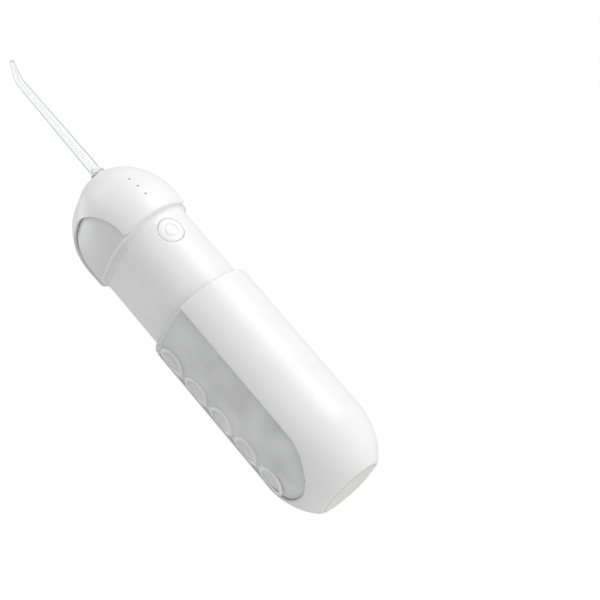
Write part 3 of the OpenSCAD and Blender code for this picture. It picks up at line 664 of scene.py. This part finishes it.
def build_finishes():
    """Every finish by its slot, made once."""
    own = colours()
    return {
        "white_shell": satin_plastic("satin white shell", tuple(own.shell_white)),
        "light_panel": satin_plastic("pale grey panel", tuple(own.panel_grey), 0.45),
        "white_inner": matt_plastic("white inner plastic", (0.80, 0.80, 0.79), 0.5),
        "clear_tank": clear_plastic("frosted clear tank", tuple(own.tank_clear), 0.12,
                                    TANK_CLARITY),
        "clear_nozzle": clear_tube("clear nozzle", tuple(own.nozzle_clear), 0.04),
        "grey_rubber": soft_rubber("grey seal rubber", tuple(own.seal_grey)),
        "clear_hose": milky_hose("milky hose", record_colour("clear_hose")),
        "light_lens": lit_lens("smoky light lens", (0.20, 0.205, 0.21)),
        "frame_plastic": matt_plastic("grey frame plastic", record_colour("frame_plastic"), 0.6),
        "cell_wrap": shrink_wrap("cell shrink wrap", record_colour("cell_wrap")),
        "plated_steel": brushed_metal("plated steel", record_colour("plated_steel"), 0.32),
        "magnet": dull_magnet("sintered magnet", record_colour("magnet")),
        "winding": wound_copper("lacquered winding", record_colour("winding")),
        "black_plastic": matt_plastic("black plastic", record_colour("black_plastic"), 0.5),
        "board": circuit_card("green circuit card", record_colour("board")),
        "brass": brushed_metal("machined brass", record_colour("brass"), 0.28, (900, 900, 60)),
        "gear_plastic": matt_plastic("ivory gear plastic", record_colour("gear_plastic"), 0.45),
    }


def finish_of(slot_name):
    """The finish for a slot; all are made at the first call."""
    scene = bpy.context.scene
    if scene.get("flosser_finishes") is None:
        made = build_finishes()
        scene["flosser_finishes"] = {key: item.name for key, item in made.items()}
    return bpy.data.materials[scene["flosser_finishes"][slot_name]]


# ---------- pieces ----------

class FLOSSER_OT_lower_shell(bpy.types.Operator):
    """Model the white lower shell with its two arched windows"""
    bl_idname = "flosser.lower_shell"
    bl_label = "Lower Shell"

    def execute(self, context):
        s = sizes()
        low, top, wall = SHELL_LOW.z, SHELL_HIGH.z, s.shell_wall
        inner, lip = HALF_W - wall, wall / 2
        pad_half = PAD_HIGH.x + 0.1 * MM
        inside = foot(inner, foot_drop() - wall, low + wall)
        outline = ([(0.0, PAD_HIGH.z), (pad_half, PAD_HIGH.z), (pad_half, low)]     # pad's seat
                   + foot(HALF_W, foot_drop(), low)
                   + arc(HALF_W - lip, top - lip, lip, 0, 90, 6)
                   + [(inner, top)] + inside[::-1] + [(0.0, low + wall)])
        obj = oval_body("lower_shell", outline)
        carve(obj, window_prism("window_tool", s.window_half, s.window_centre, 4 * HALF_W,
                                4 * HALF_W))
        soften_edges(obj, s.edge_round)
        finish_piece(obj, "tank_body", finish_of("white_shell"), ["outer_shell"])
        return {"FINISHED"}


class FLOSSER_OT_water_tank(bpy.types.Operator):
    """Model the clear tank with the lip that fills the windows' upper ends"""
    bl_idname = "flosser.water_tank"
    bl_label = "Water Tank"

    def execute(self, context):
        s = sizes()
        low, top = SHELL_LOW.z + s.shell_wall, SHELL_HIGH.z
        outer = tank_half()
        inner = outer - s.tank_wall
        drop = foot_drop() - s.shell_wall - s.seat_gap
        floor, groove, mouth, edge = low + 1.6 * MM, 0.5 * MM, 0.8 * MM, 0.2 * MM
        inside = foot(inner, drop - s.tank_wall, floor)
        outline = ([(0.0, low)] + foot(outer, drop, low)
                   + [(outer, top - edge), (outer - edge, top),
                      (inner + mouth, top), (inner, top - mouth),
                      (inner, WIPER_HIGH.z), (inner + groove, WIPER_HIGH.z),
                      (inner + groove, WIPER_LOW.z), (inner, WIPER_LOW.z)]
                   + inside[::-1] + [(0.0, floor)])
        obj = oval_body("tank", outline)
        carve(obj, self.lip(outer, top), "UNION")
        reach, drop = 13 * MM, 5.6 * MM
        for side in (-1, 1):
            carve(obj, bead("snap_tool", side, inner + BEAD_SINK, reach, top - drop,
                            BEAD_RADIUS), "UNION")
        finish_piece(obj, "tank_body", finish_of("clear_tank"), ["water_tank"])
        return {"FINISHED"}

    def lip(self, outer, top):
        """Rounded lip that stands proud in both windows."""
        s = sizes()
        height, proud, edge, back = 1.6 * MM, 1.0 * MM, 0.4 * MM, outer - 0.3 * MM
        outline = ([(back, top - height)]
                   + arc(outer + proud - edge, top - height + edge, edge, -90, 0, 4)
                   + arc(outer + proud - edge, top - edge, edge, 0, 90, 4)
                   + [(back, top), (back, top - height)])
        lip = oval_body("tank_lip_tool", outline)
        carve(lip, window_prism("lip_tool", s.window_half - s.seat_gap, top - 2 * s.window_half,
                                4 * s.window_half, 4 * HALF_W), "INTERSECT")
        return lip


class FLOSSER_OT_tank_rings(bpy.types.Operator):
    """Model the moulded rings on the tank's two curved sides"""
    bl_idname = "flosser.tank_rings"
    bl_label = "Tank Rings"

    def execute(self, context):
        s = sizes()
        surface = tank_half()
        behind = STRETCH + surface * RING_ANGLE
        sink, half = 0.05 * MM, s.ring_band / 2
        middle, fullness = s.ring_radius - half, 0.6
        section = [(middle + half * math.cos(turn),
                    -sink + (s.ring_raise + sink) * math.sin(turn) ** fullness)
                   for turn in (math.pi * i / 12 for i in range(13))]
        outline = section + [section[0]]
        first = turn_outline("tank_rings", outline, steps=72)
        rings = [first]
        for _ in range(1, RING_COUNT):
            copy = first.copy()
            copy.data = first.data.copy()
            context.scene.collection.objects.link(copy)
            rings.append(copy)
        for i, ring in enumerate(rings):
            height = s.ring_first + i * s.ring_pitch
            for point in ring.data.vertices:
                point.co = on_oval(surface, behind + point.co.x, point.co.z,
                                   height + point.co.y)
        deselect()
        for ring in rings:
            ring.select_set(True)
        context.view_layer.objects.active = first
        bpy.ops.object.join()
        step = first.modifiers.new("other side", "MIRROR")
        step.use_axis = (True, False, False)
        bpy.ops.object.modifier_apply(modifier=step.name)
        face_outwards(first)
        prism = window_prism("ring_tool", s.window_half - s.seat_gap, s.window_centre,
                             4 * HALF_W, 4 * HALF_W)
        carve(first, prism, "INTERSECT")
        # Painted highlight: the rings get a less clear, whiter copy of the tank's plastic.
        milky = clear_plastic("tank rings whitened as painted highlight", tuple(colours().tank_clear), 0.15,
                              RING_HIGHLIGHT_CLARITY)
        finish_piece(first, "tank_body", milky, smooth=50.0)
        return {"FINISHED"}


def head_fill(name, inset, low):
    """Solid of the head's inside, inset from its outside."""
    rise = HEAD_HIGH.z - head_spring() - inset
    return oval_body(name, [(0.0, low), (HALF_W - inset, low)]
                     + dome(HALF_W - inset, head_spring(), rise))


def arch_prism(name, margin, low):
    """Prism of the head's arches, cut off level at height low."""
    s = sizes()
    obj = window_prism(name, s.arch_half + margin, head_base() + s.arch_lift, -2 * s.arch_half,
                       4 * HALF_W)
    carve(obj, block("level_tool", (-3 * HALF_W, -3 * HALF_W, -HALF_W),
                     (3 * HALF_W, 3 * HALF_W, low)))
    return obj


class FLOSSER_OT_head(bpy.types.Operator):
    """Model the domed head with its arched recesses, nozzle hole and port recess"""
    bl_idname = "flosser.head"
    bl_label = "Head"

    def execute(self, context):
        s = sizes()
        rim, wall = head_base(), s.head_wall
        spring, rise = head_spring(), HEAD_HIGH.z - rim - s.head_straight
        seat, fillet, lip = sleeve_half() + 0.05 * MM, HEAD_FILLET, 1.5 * MM
        flange, inner = rim + 3 * MM, HALF_W - wall
        outline = (arc(seat + fillet, rim - fillet, fillet, 180, 90, 8)
                   + arc(HALF_W - lip, rim + lip, lip, -90, 0, 8)
                   + dome(HALF_W, spring, rise)
                   + dome(inner, spring, rise - wall)[::-1]
                   + [(inner, flange), (seat, flange), (seat, rim - fillet)])
        obj = oval_body("head", outline)
        recess = arch_prism("arch_tool", 0.0, rim - ARCH_LOW)
        panel_gap = 0.08 * MM
        carve(recess, head_fill("arch_fill_tool", wall + PANEL_DEPTH + panel_gap, 0.0))
        carve(obj, recess)
        self.add_port(obj)
        soften_edges(obj, 0.3 * MM)
        hole, depth = 4.65 * MM, 30 * MM
        deselect()
        bpy.ops.mesh.primitive_cylinder_add(vertices=96, radius=hole, depth=depth,
                                            location=(0, NOZZLE_Y, HEAD_HIGH.z))
        tool = context.object
        settle(tool)
        carve(obj, tool)
        finish_piece(obj, "upper_body", finish_of("white_shell"), ["head_dome"])
        return {"FINISHED"}

    def add_port(self, obj):
        """Thickens the wall behind the cover and cuts the recess and the port's opening."""
        gap, pad, skin = 0.25 * MM, 1.6 * MM, 0.9 * MM
        floor = COVER_LOW.y - 0.1 * MM
        low = Vector((COVER_LOW.x - pad, floor - pad, COVER_LOW.z - pad))
        high = Vector((COVER_HIGH.x + pad, HALF_W + 2 * STRETCH, COVER_HIGH.z + pad))
        thick = block("port_frame_tool", low, high)
        carve(thick, head_fill("port_fill_tool", skin, head_base()), "INTERSECT")
        carve(obj, thick, "UNION")
        carve(obj, block("port_recess_tool",
                         (COVER_LOW.x - gap, floor, COVER_LOW.z - gap),
                         (COVER_HIGH.x + gap, 2 * HALF_W, COVER_HIGH.z + gap)))
        seat = 0.1 * MM
        carve(obj, block("port_hole_tool",
                         (PORT_LOW.x - seat, floor - 10 * MM, PORT_LOW.z - seat),
                         (PORT_HIGH.x + seat, 2 * HALF_W, PORT_HIGH.z + seat)))


class FLOSSER_OT_arch_panels(bpy.types.Operator):
    """Model the pale panels behind the head's two arches"""
    bl_idname = "flosser.arch_panels"
    bl_label = "Arch Panels"

    def execute(self, context):
        s = sizes()
        low, spring = head_base() - ARCH_LOW, head_spring()
        outset = s.head_wall + 0.05 * MM
        wall = s.head_wall + PANEL_DEPTH
        rise = HEAD_HIGH.z - spring
        outline = ([(HALF_W - wall, low), (HALF_W - outset, low)]
                   + dome(HALF_W - outset, spring, rise - outset)
                   + dome(HALF_W - wall, spring, rise - wall)[::-1]
                   + [(HALF_W - wall, low)])
        obj = oval_body("arch_panels_shaped", outline)
        carve(obj, arch_prism("panel_tool", -0.03 * MM, 0.0), "INTERSECT")
        carve(obj, block("panel_gap_tool", (-STRETCH, -3 * HALF_W, 0),
                         (STRETCH, 3 * HALF_W, 2 * HEAD_HIGH.z)))
        soften_edges(obj, 0.12 * MM, 50.0, 2)
        finish_piece(obj, "upper_body", finish_of("light_panel"), ["arch_panels"])
        return {"FINISHED"}


class FLOSSER_OT_sleeve(bpy.types.Operator):
    """Model the middle sleeve with the button's opening and its snap beads"""
    bl_idname = "flosser.sleeve"
    bl_label = "Middle Sleeve"

    def execute(self, context):
        s = sizes()
        outer = sleeve_half()
        inner = outer - s.sleeve_wall
        low, top = SLEEVE_LOW.z, SLEEVE_HIGH.z
        step_out, step_low, edge, count = SLEEVE_HIGH.x, top - 1.7 * MM, 0.25 * MM, 24
        wall = [(outer, low + edge + (step_low - low - edge) * i / count)
                for i in range(count + 1)]
        outline = ([(inner, low), (outer - edge, low)] + wall
                   + [(step_out, step_low), (step_out, top), (inner, top), (inner, low)])
        obj = oval_body("sleeve", outline)
        carve(obj, rod_y("button_tool", s.button_radius + s.button_gap, 0.0, BUTTON_Z,
                         -2 * HALF_W, 0.0, 96))
        reach, drop = 18.5 * MM, 4.5 * MM
        for side in (-1, 1):
            carve(obj, bead("snap_tool", side, outer - BEAD_SINK, reach, head_base() - drop,
                            BEAD_RADIUS), "UNION")
        soften_edges(obj, edge, 50.0, 2)
        finish_piece(obj, "upper_body", finish_of("white_shell"),
                     ["middle_sleeve"])
        return {"FINISHED"}


class FLOSSER_OT_power_button(bpy.types.Operator):
    """Model the round power button with its fine ring"""
    bl_idname = "flosser.power_button"
    bl_label = "Power Button"

    def execute(self, context):
        radius, outer = sizes().button_radius, sleeve_half()
        ring, half, deep = 0.5 * radius, 0.3 * MM, 0.3 * MM
        thick, edge, ease, dip = 2.2 * MM, 0.3 * MM, 0.12 * MM, 0.03 * MM
        outline = ([(0.0, thick), (radius, thick), (radius, edge)]
                   + [(radius - edge + edge * math.cos(turn), edge - edge * math.sin(turn))
                      for turn in (math.pi / 2 * i / 5 for i in range(1, 6))]
                   + [(ring + half + ease, 0.0), (ring + half, dip), (ring + half / 2, deep),
                      (ring - half / 2, deep), (ring - half, dip), (ring - half - ease, 0.0)]
                   + [(radius * share, 0.0) for share in (0.3, 0.2, 0.1, 0.0)])
        obj = turn_outline("button", outline, steps=96)
        for point in obj.data.vertices:
            x, up, deep_in = point.co.x, point.co.y, point.co.z
            face = -STRETCH - math.sqrt(outer ** 2 - x ** 2)
            point.co = (x, face + deep_in, BUTTON_Z + up)
        face_outwards(obj)
        finish_piece(obj, "button", finish_of("white_shell"), ["power_button"])
        return {"FINISHED"}


class FLOSSER_OT_light_lenses(bpy.types.Operator):
    """Model the three small lenses on the front of the head, square to its surface"""
    bl_idname = "flosser.light_lenses"
    bl_label = "Light Lenses"

    def execute(self, context):
        rim, spring = head_base(), head_spring()
        rise = HEAD_HIGH.z - spring
        radius, proud, deep = 0.5 * MM, 0.04 * MM, 0.6 * MM
        outline = [(0.0, -deep), (radius, -deep), (radius, 0.0), (0.85 * radius, 0.8 * proud),
                   (0.45 * radius, proud), (0.0, proud)]
        lenses = []
        for lift in LENS_LIFTS:
            share = (rim + lift - spring) / rise
            reach = HALF_W * math.sqrt(1 - share ** 2)
            face = Vector((0.0, -STRETCH - reach, rim + lift))
            normal = Vector((0.0, -reach / HALF_W ** 2, share / rise)).normalized()
            turn = normal.to_track_quat("Z", "Y").to_matrix().to_4x4()
            lens = turn_outline("light_lenses", outline, steps=24)
            lens.data.transform(Matrix.Translation(face) @ turn)
            lenses.append(lens)
        deselect()
        for lens in lenses:
            lens.select_set(True)
        context.view_layer.objects.active = lenses[0]
        bpy.ops.object.join()
        finish_piece(lenses[0], "upper_body", finish_of("light_lens"),
                     ["light_guide"])
        return {"FINISHED"}


class FLOSSER_OT_nozzle(bpy.types.Operator):
    """Model the clear nozzle with its collar, bore, smooth bend and tip"""
    bl_idname = "flosser.nozzle"
    bl_label = "Nozzle"

    def execute(self, context):
        s = sizes()
        base = NOZZLE_LOW.z + NOZZLE_STEM
        bend_z = base + s.nozzle_length
        base_r, bend_r, tip_r, collar_r = 2.9 * MM, 2.1 * MM, 1.1 * MM, 4.0 * MM
        stem_r, bore, collar_h = 2.0 * MM, 0.6 * MM, 2.2 * MM
        lift, edge = 0.1 * MM, 0.2 * MM
        groove = (RING_HIGH.z - RING_LOW.z) / 2
        curve = 5 * MM
        start = curve * math.tan(s.tip_angle / 2)
        straight = bend_z - start
        run = curve * s.tip_angle + s.tip_length - start
        slope = (base_r - bend_r) / s.nozzle_length

        def tube(z):
            return base_r - slope * (z - base)

        outline = [(bore, NOZZLE_LOW.z), (stem_r - edge, NOZZLE_LOW.z),
                   (stem_r, NOZZLE_LOW.z + edge),
                   (stem_r, RING_LOW.z), (stem_r - groove, RING_LOW.z),
                   (stem_r - groove, RING_HIGH.z), (stem_r, RING_HIGH.z),
                   (stem_r, base + lift), (collar_r - 0.3 * MM, base + lift),
                   (collar_r, base + 0.35 * MM), (collar_r - edge, base + 0.7 * MM),
                   (tube(base + collar_h) + 0.25 * MM, base + 0.75 * collar_h),
                   (tube(base + 1.4 * collar_h), base + 1.4 * collar_h)]
        outline += [(tube(z), z) for z in (base + (straight - base) * i / 8 for i in range(1, 8))]
        count, start_r, end, jet = 18, tube(straight), straight + run, 0.7
        outline += [(start_r + (tip_r - start_r) * i / count, straight + run * i / count)
                    for i in range(count)]
        outline += [(tip_r, end - 0.25 * MM), (tip_r - edge, end), (bore * jet, end)]
        outline += [(bore * (jet + (1 - jet) * i / count), end - run * i / count)
                    for i in range(1, count + 1)]
        outline += [(bore, NOZZLE_LOW.z)]
        obj = turn_outline("nozzle_clear", outline, (0.0, NOZZLE_Y), 48)
        for point in obj.data.vertices:
            beyond = point.co.z - straight
            if beyond <= 0:
                continue
            side = point.co.y - NOZZLE_Y
            turn = min(beyond / curve, s.tip_angle)
            rest = beyond - turn * curve
            y = -curve * (1 - math.cos(turn)) - rest * math.sin(turn)
            z = curve * math.sin(turn) + rest * math.cos(turn)
            point.co.y = NOZZLE_Y + y + side * math.cos(turn)
            point.co.z = straight + z + side * math.sin(turn)
        finish_piece(obj, "nozzle", finish_of("clear_nozzle"),
                     ["water_nozzle"], 40.0)
        return {"FINISHED"}


class FLOSSER_OT_packed_parts(bpy.types.Operator):
    """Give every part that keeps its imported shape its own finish"""
    bl_idname = "flosser.packed_parts"
    bl_label = "Packed Parts"

    def execute(self, context):
        for entry in frame["record"]["subparts"]:
            node = frame["nodes"][entry["node"]]
            node.data.materials.clear()
            node.data.materials.append(finish_of(entry["material_slot"]))
        return {"FINISHED"}


# ---------- stage ----------

CAMERA_PLACE = Vector((-431.45, -697.74, -104.88)) * MM
CAMERA_AIM = Vector((36.21, -19.97, 87.18)) * MM
CAMERA_ROLL = math.radians(40.946)
CAMERA_LENS = 102.99
FLOOR_Z = -380 * MM
FLOOR_SIZE = 12.0
FLOOR_FULL, FLOOR_GONE = 0.6, 5.0       # distances between which the floor fades away
FLOOR_GLOW, ROOM_LIGHT = 0.08, 0.52


def camera_axes():
    """Right, up and forward of the rolled camera."""
    forward = (CAMERA_AIM - CAMERA_PLACE).normalized()
    level = forward.cross(Vector((0, 0, 1))).normalized()
    plumb = level.cross(forward)
    up = plumb * math.cos(CAMERA_ROLL) + level * math.sin(CAMERA_ROLL)
    return forward.cross(up), up, forward


def soft_light(name, place, size, power):
    """Square area light that faces the middle of the object."""
    data = bpy.data.lights.new(name, "AREA")
    data.shape = "SQUARE"
    data.size = size
    data.energy = power
    lamp = bpy.data.objects.new(name, data)
    bpy.context.scene.collection.objects.link(lamp)
    lamp.location = place
    lamp.rotation_euler = (CAMERA_AIM - Vector(place)).to_track_quat("-Z", "Y").to_euler()
    return lamp


class FLOSSER_OT_stage(bpy.types.Operator):
    """Set up the floor, the soft lights, the pale surroundings and the camera"""
    bl_idname = "flosser.stage"
    bl_label = "Stage"

    def execute(self, context):
        right, up, forward = camera_axes()
        data = bpy.data.cameras.new("camera")
        data.lens = CAMERA_LENS
        data.sensor_width = 36.0
        data.clip_start = 0.01
        camera = bpy.data.objects.new("camera", data)
        context.scene.collection.objects.link(camera)
        turn = Matrix((right, up, -forward)).transposed().to_4x4()
        camera.matrix_world = Matrix.Translation(CAMERA_PLACE) @ turn
        context.scene.camera = camera
        self.floor(context)
        self.surroundings(context)
        toward = (right * 0.55 + up).normalized()
        soft_light("key light", CAMERA_AIM + toward * 1.1 - forward * 0.35, 0.7, 7.6)
        soft_light("top light", CAMERA_AIM + Vector((-0.35, -0.15, 1.1)), 0.6, 2.2)
        soft_light("rim light", CAMERA_AIM - right * 0.9 + forward * 0.5 + up * 0.1, 0.5, 1.5)
        context.scene.view_settings.view_transform = "Standard"
        return {"FINISHED"}

    def floor(self, context):
        deselect()
        bpy.ops.mesh.primitive_grid_add(x_subdivisions=8, y_subdivisions=8, size=FLOOR_SIZE,
                                        location=(0, 0, FLOOR_Z))
        obj = context.object
        obj.name = "floor"
        settle(obj)
        finish = Finish("pale floor", tuple(colours().floor_pale), 0.7)
        finish.vary_colour(finish.noise(3, 2.0), 0.01)
        finish.set(Emission_Color=(1.0, 1.0, 1.0, 1.0), Emission_Strength=FLOOR_GLOW)
        self.fade_out(finish)
        obj.data.materials.append(finish.material)
        deselect()

    def fade_out(self, finish):
        """Lets the floor fade away with distance, so that no edge shows."""
        tree = finish.tree
        far = tree.nodes.new("ShaderNodeVectorMath")
        far.operation = "LENGTH"
        reach = tree.nodes.new("ShaderNodeMapRange")
        reach.interpolation_type = "SMOOTHSTEP"
        reach.inputs["From Min"].default_value = FLOOR_FULL
        reach.inputs["From Max"].default_value = FLOOR_GONE
        away = tree.nodes.new("ShaderNodeBsdfTransparent")
        mix = tree.nodes.new("ShaderNodeMixShader")
        tree.links.new(finish.place, far.inputs[0])
        tree.links.new(far.outputs["Value"], reach.inputs["Value"])
        tree.links.new(reach.outputs["Result"], mix.inputs[0])
        tree.links.new(finish.shader.outputs[0], mix.inputs[1])
        tree.links.new(away.outputs[0], mix.inputs[2])
        tree.links.new(mix.outputs[0], tree.nodes["Material Output"].inputs["Surface"])

    def surroundings(self, context):
        """White behind the object, with softer light from all sides."""
        world = bpy.data.worlds.new("surroundings")
        context.scene.world = world
        world.use_nodes = True
        tree = world.node_tree
        shine = tree.nodes["Background"]
        shine.inputs["Color"].default_value = (1, 1, 1, 1)
        shine.inputs["Strength"].default_value = ROOM_LIGHT
        white = tree.nodes.new("ShaderNodeBackground")
        white.inputs["Color"].default_value = (1, 1, 1, 1)
        white.inputs["Strength"].default_value = 1.0
        ray = tree.nodes.new("ShaderNodeLightPath")
        mix = tree.nodes.new("ShaderNodeMixShader")
        either = tree.nodes.new("ShaderNodeMath")
        either.operation = "MAXIMUM"
        tree.links.new(ray.outputs["Is Camera Ray"], either.inputs[0])
        tree.links.new(ray.outputs["Is Transmission Ray"], either.inputs[1])
        tree.links.new(either.outputs[0], mix.inputs[0])
        tree.links.new(shine.outputs[0], mix.inputs[1])
        tree.links.new(white.outputs[0], mix.inputs[2])
        tree.links.new(mix.outputs[0], tree.nodes["World Output"].inputs["Surface"])


class FLOSSER_PT_panel(bpy.types.Panel):
    """Lists the flosser's pieces in the order in which they are made."""
    bl_idname = "FLOSSER_PT_panel"
    bl_label = "Water Flosser"
    bl_space_type = "VIEW_3D"
    bl_region_type = "UI"
    bl_category = "Flosser"

    def draw(self, context):
        for operator in PIECES:
            self.layout.operator(operator.bl_idname)
        for group in (context.scene.flosser_sizes, context.scene.flosser_colours):
            box = self.layout.box()
            for key in group.__annotations__:
                box.prop(group, key)


PIECES = (
    FLOSSER_OT_packed_parts,
    FLOSSER_OT_lower_shell,
    FLOSSER_OT_water_tank,
    FLOSSER_OT_tank_rings,
    FLOSSER_OT_head,
    FLOSSER_OT_arch_panels,
    FLOSSER_OT_sleeve,
    FLOSSER_OT_power_button,
    FLOSSER_OT_light_lenses,
    FLOSSER_OT_nozzle,
    FLOSSER_OT_stage,
)


def register():
    for item in (FlosserSizes, FlosserColours, *PIECES, FLOSSER_PT_panel):
        bpy.utils.register_class(item)
    bpy.types.Scene.flosser_sizes = bpy.props.PointerProperty(type=FlosserSizes)
    bpy.types.Scene.flosser_colours = bpy.props.PointerProperty(type=FlosserColours)


def unregister():
    del bpy.types.Scene.flosser_colours
    del bpy.types.Scene.flosser_sizes
    for item in (FLOSSER_PT_panel, *reversed(PIECES), FlosserColours, FlosserSizes):
        bpy.utils.unregister_class(item)


def main():
    register()
    for operator in PIECES:
        group, name = operator.bl_idname.split(".")
        getattr(getattr(bpy.ops, group), name)()


if __name__ == "__main__":
    main()
